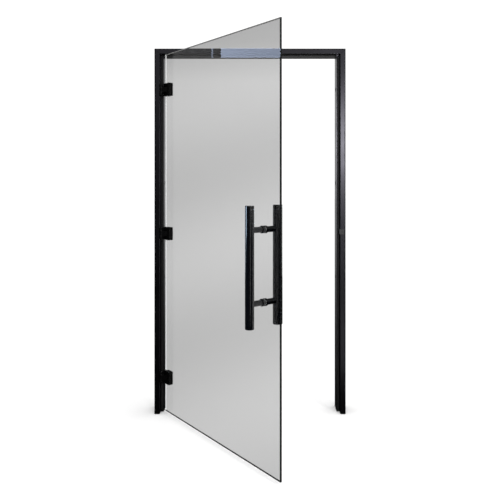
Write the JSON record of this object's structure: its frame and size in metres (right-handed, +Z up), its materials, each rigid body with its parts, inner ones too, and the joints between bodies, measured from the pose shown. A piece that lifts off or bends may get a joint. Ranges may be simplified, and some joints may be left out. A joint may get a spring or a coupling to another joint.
{
  "type": "glass door",
  "caption": "Tinted glass door standing open in a slim black aluminium frame, hung on clamp hinges, with a back-to-back tubular pull handle.",
  "frame": {"origin": "middle of the opening at floor level, on the plane of the frame's front faces", "axes": "+X towards the strike jamb, +Y through the wall from the side the leaf opens to, +Z up"},
  "size_m": [0.99, 0.8186, 1.89],
  "materials": {
    "frame_profile": "black, satin",
    "key_metal": "mill",
    "foot_plastic": "matt",
    "seal_rubber": "matt",
    "cap_plastic": "matt",
    "hinge_metal": "black, satin",
    "pin_steel": "ground",
    "bush_plastic": "matt",
    "screw_metal": "black, satin",
    "pad_rubber": "matt",
    "glass_tinted": "polished",
    "grip_metal": "black, satin",
    "grommet_plastic": "clear",
    "stud_steel": "ground",
    "catch_metal": "dark grey, satin",
    "catch_plastic": "matt"
  },
  "bodies": {
    "frame": {"hinge_jamb": "frame_profile", "strike_jamb": "frame_profile", "head_rail": "frame_profile", "corner_key_hinge_side": "key_metal", "corner_key_strike_side": "key_metal", "foot_hinge_side": "foot_plastic", "foot_strike_side": "foot_plastic", "seal_hinge_jamb": "seal_rubber", "seal_strike_jamb": "seal_rubber", "seal_head": "seal_rubber", "fixing_caps": "cap_plastic", "bracket_bottom": "hinge_metal", "bracket_middle": "hinge_metal", "bracket_top": "hinge_metal", "pin_bottom": "pin_steel", "pin_middle": "pin_steel", "pin_top": "pin_steel", "bracket_screws": "screw_metal", "catch_clip": "catch_metal", "catch_pad": "catch_plastic", "catch_screw": "screw_metal"},
    "leaf": {"glass_pane": "glass_tinted", "clamp_outer_bottom": "hinge_metal", "clamp_outer_middle": "hinge_metal", "clamp_outer_top": "hinge_metal", "clamp_inner_bottom": "hinge_metal", "clamp_inner_middle": "hinge_metal", "clamp_inner_top": "hinge_metal", "pad_outer_bottom": "pad_rubber", "pad_outer_middle": "pad_rubber", "pad_outer_top": "pad_rubber", "pad_inner_bottom": "pad_rubber", "pad_inner_middle": "pad_rubber", "pad_inner_top": "pad_rubber", "bushes_bottom": "bush_plastic", "bushes_middle": "bush_plastic", "bushes_top": "bush_plastic", "clamp_screws": "screw_metal", "grip_front": "grip_metal", "grip_rear": "grip_metal", "grip_caps_front": "grip_metal", "grip_caps_rear": "grip_metal", "post_front_lower": "grip_metal", "post_front_upper": "grip_metal", "post_rear_lower": "grip_metal", "post_rear_upper": "grip_metal", "collar_front_lower": "grip_metal", "collar_front_upper": "grip_metal", "collar_rear_lower": "grip_metal", "collar_rear_upper": "grip_metal", "glass_grommets": "grommet_plastic", "stud_lower": "stud_steel", "stud_upper": "stud_steel", "collar_set_screws": "screw_metal"}
  },
  "joints": [
    {"name": "leaf_swing", "type": "hinge", "parent": "frame", "child": "leaf", "pos_m": [-0.4575, -0.003, 0.93425], "axis": [0, 0, 1], "range_deg": [-53.7, 51.3]}
  ]
}
